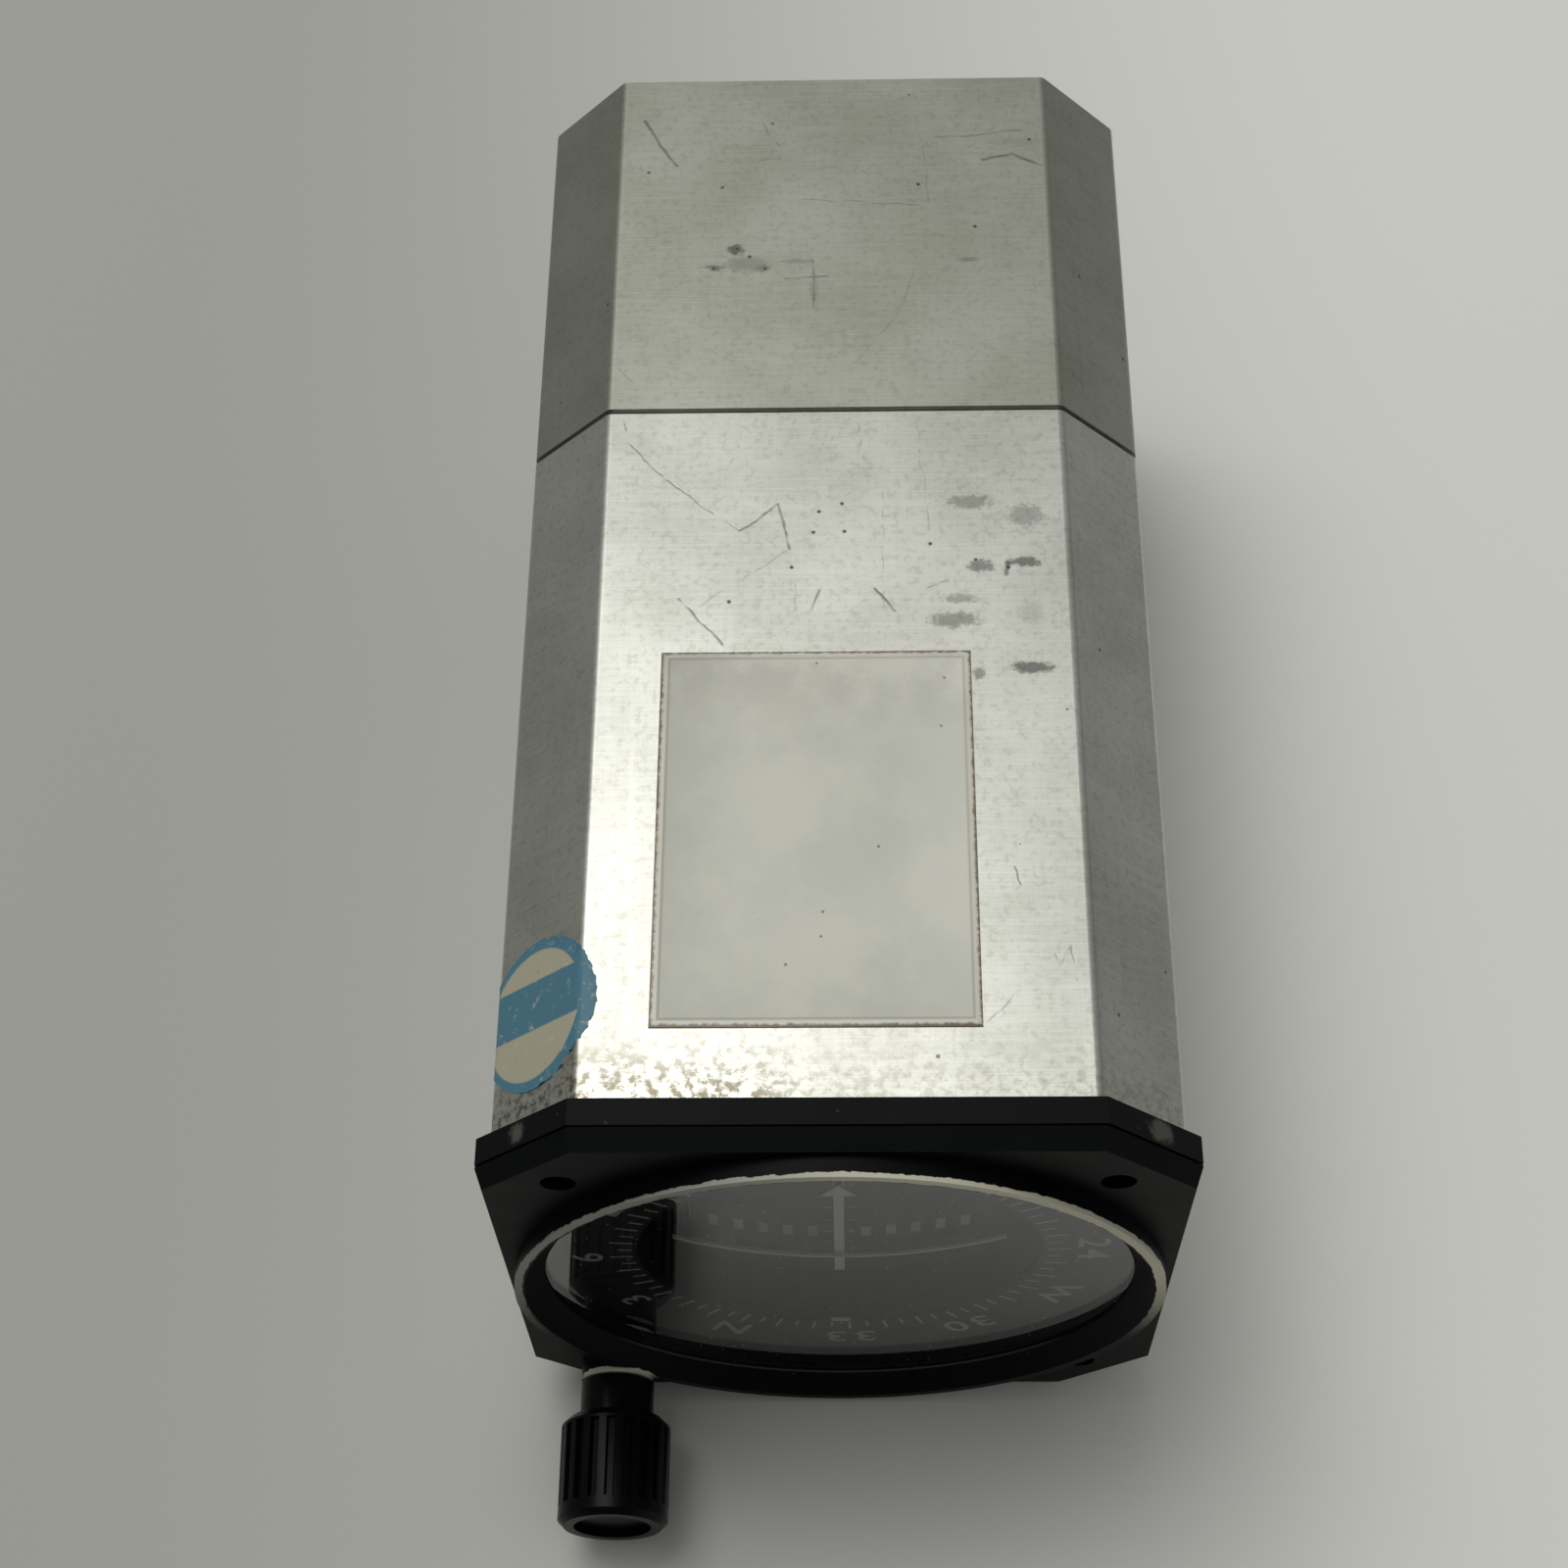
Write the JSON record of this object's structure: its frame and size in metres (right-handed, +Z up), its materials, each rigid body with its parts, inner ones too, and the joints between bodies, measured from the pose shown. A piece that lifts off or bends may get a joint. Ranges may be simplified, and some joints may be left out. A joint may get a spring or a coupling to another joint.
{
  "type": "course deviation indicator",
  "caption": "Panel course deviation indicator in a clipped-square bezel and octagonal aluminium case, with a geared compass card, a course knob and two crossed needles under glass.",
  "frame": {"origin": "centre of the bezel's mounting face, the front of the clipped-square plate that bears on the back of the panel", "axes": "+X right as seen from the front, +Y back into the panel along the case, +Z up"},
  "size_m": [0.0826, 0.1927, 0.0826],
  "materials": {
    "black_enamel": "satin black enamel, worn at the edges",
    "case_aluminium": "satin brushed sheet",
    "lens_glass": "clear",
    "black_plastic": "satin",
    "gasket_rubber": "matt",
    "gear_brass": "machined",
    "dial_black": "matt black",
    "needle_cream": "matt cream",
    "bright_steel": "machined",
    "soft_iron": "plated",
    "coil_copper": "enamelled wire",
    "board_green": "lacquered",
    "contact_gold": "plated",
    "flag_paint": "matt"
  },
  "bodies": {
    "root": {"bezel": "black_enamel", "board_brackets": "case_aluminium", "board_components": "black_plastic", "card_bearing_ring": "dial_black", "cdi_bracket": "gear_brass", "cdi_magnet": "soft_iron", "cdi_yoke": "soft_iron", "converter_board": "board_green", "dial_lamp_cover": "dial_black", "edge_contacts": "contact_gold", "flag_motors": "soft_iron", "flag_plate": "dial_black", "front_can": "case_aluminium", "gear_plate": "case_aluminium", "gear_plate_posts": "bright_steel", "gear_plate_screws": "bright_steel", "gs_bracket": "gear_brass", "gs_magnet": "soft_iron", "gs_yoke": "soft_iron", "idler_pin": "bright_steel", "index_pointers": "needle_cream", "joint_band": "case_aluminium", "lens": "lens_glass", "lens_clamp_ring": "dial_black", "lens_gasket": "gasket_rubber", "meter_face": "dial_black", "mounting_frame": "black_enamel", "movement_plate": "case_aluminium", "rear_can": "case_aluminium", "rear_nuts": "bright_steel", "rear_plate": "black_enamel", "resolver_body": "case_aluminium", "shaft_bushings": "gear_brass", "tie_rods": "bright_steel"},
    "knob": {"obs_knob": "black_plastic", "knob_shaft": "bright_steel", "card_pinion": "gear_brass", "train_pinion": "gear_brass"},
    "card": {"azimuth_card": "dial_black", "azimuth_gear": "gear_brass"},
    "idler": {"idler_gear": "gear_brass", "idler_pinion": "gear_brass"},
    "resolver": {"resolver_gear": "gear_brass", "resolver_rotor": "bright_steel"},
    "cdi": {"cdi_needle": "needle_cream", "cdi_arm": "case_aluminium", "cdi_coil": "coil_copper", "cdi_pivots": "bright_steel", "cdi_balance": "gear_brass"},
    "gs": {"gs_needle": "needle_cream", "gs_arm": "case_aluminium", "gs_coil": "coil_copper", "gs_pivots": "bright_steel", "gs_balance": "gear_brass"},
    "nav_flag": {"nav_flag": "flag_paint"},
    "gs_flag": {"gs_flag": "flag_paint"},
    "to_from_flag": {"to_from_flag": "flag_paint"}
  },
  "joints": [
    {"name": "knob_turn", "type": "hinge", "parent": "root", "child": "knob", "pos_m": [-0.0295, 0, -0.0314], "axis": [0, 1, 0], "continuous": true},
    {"name": "card_turn", "type": "hinge", "parent": "root", "child": "card", "pos_m": [0, 0, 0], "axis": [0, 1, 0], "continuous": true},
    {"name": "idler_turn", "type": "hinge", "parent": "root", "child": "idler", "pos_m": [-0.01822, 0, -0.0273], "axis": [0, 1, 0], "continuous": true},
    {"name": "resolver_turn", "type": "hinge", "parent": "root", "child": "resolver", "pos_m": [-0.00825, 0, -0.02265], "axis": [0, 1, 0], "continuous": true},
    {"name": "cdi_swing", "type": "hinge", "parent": "root", "child": "cdi", "pos_m": [0, 0.0876, 0], "axis": [0, 0, 1], "range_deg": [-10.5, 10.5], "stiffness_Nm_per_rad": 0.004},
    {"name": "gs_swing", "type": "hinge", "parent": "root", "child": "gs", "pos_m": [0, 0.0876, 0], "axis": [1, 0, 0], "range_deg": [-9.77, 6.23], "stiffness_Nm_per_rad": 0.004},
    {"name": "nav_flag_swing", "type": "hinge", "parent": "root", "child": "nav_flag", "pos_m": [-0.0032, 0, 0.0074], "axis": [0, 1, 0], "range_deg": [0, 25], "stiffness_Nm_per_rad": 0.0002},
    {"name": "gs_flag_swing", "type": "hinge", "parent": "root", "child": "gs_flag", "pos_m": [-0.0032, 0, -0.0074], "axis": [0, 1, 0], "range_deg": [-25, 0], "stiffness_Nm_per_rad": 0.0002},
    {"name": "to_from_swing", "type": "hinge", "parent": "root", "child": "to_from_flag", "pos_m": [0.0046, 0, -0.004], "axis": [0, 1, 0], "range_deg": [-20, 20], "stiffness_Nm_per_rad": 0.0002}
  ],
  "couplings": [
    {"joint": "card_turn", "follows": "knob_turn", "ratio": -0.125},
    {"joint": "idler_turn", "follows": "knob_turn", "ratio": -0.33333},
    {"joint": "resolver_turn", "follows": "knob_turn", "ratio": 0.125}
  ]
}
